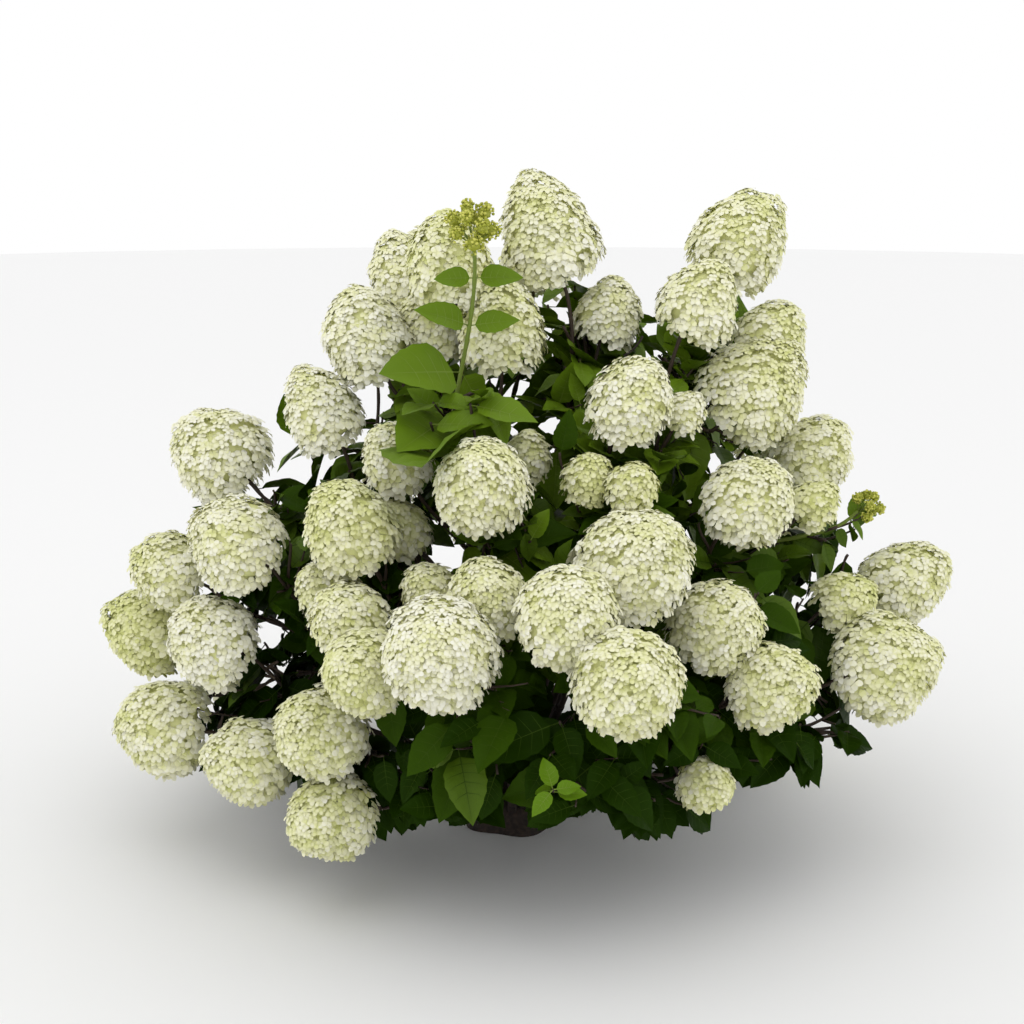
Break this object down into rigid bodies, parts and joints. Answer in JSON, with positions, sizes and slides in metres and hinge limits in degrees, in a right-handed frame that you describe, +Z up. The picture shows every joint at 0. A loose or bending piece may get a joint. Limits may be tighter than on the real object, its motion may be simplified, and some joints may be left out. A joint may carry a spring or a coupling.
{
  "type": "panicle hydrangea",
  "caption": "Wide, many-stemmed flowering shrub with large egg-shaped cream flower heads over dark green leaves, rooted in the ground.",
  "frame": {"origin": "middle of the flat cut under the root stool, at ground level", "axes": "+Z up; the side that the picture shows faces -Y"},
  "size_m": [1.6367, 1.5483, 1.2588],
  "materials": {
    "bark": "rough brown stems",
    "petals": "matt cream to lime florets, over green leaves",
    "leaves": "dark green leaves with a soft sheen"
  },
  "bodies": {
    "root": {"bough_far_left": "bark", "bough_far_low": "bark", "bough_far_right": "bark", "bough_far_shoulder_left": "bark", "bough_far_shoulder_right": "bark", "bough_far_top": "bark", "bough_front": "bark", "bough_front_foot": "bark", "bough_front_left": "bark", "bough_front_right": "bark", "bough_left": "bark", "bough_left_foot": "bark", "bough_left_low": "bark", "bough_left_shoulder": "bark", "bough_right": "bark", "bough_right_front": "bark", "bough_right_low": "bark", "bough_top": "bark", "bough_top_left": "bark", "bough_top_right": "bark", "bough_upper_front": "bark", "bough_upper_right": "bark", "mass_far_left": "petals", "mass_far_low": "petals", "mass_far_right": "petals", "mass_far_shoulder_left": "petals", "mass_far_shoulder_right": "petals", "mass_far_top": "petals", "mass_front": "petals", "mass_front_foot": "leaves", "mass_front_left": "petals", "mass_front_right": "petals", "mass_left": "petals", "mass_left_foot": "petals", "mass_left_low": "petals", "mass_left_shoulder": "petals", "mass_right": "petals", "mass_right_front": "petals", "mass_right_low": "petals", "mass_top": "petals", "mass_top_left": "petals", "mass_top_right": "petals", "mass_upper_front": "petals", "mass_upper_right": "petals", "root_stool": "bark"}
  },
  "joints": []
}
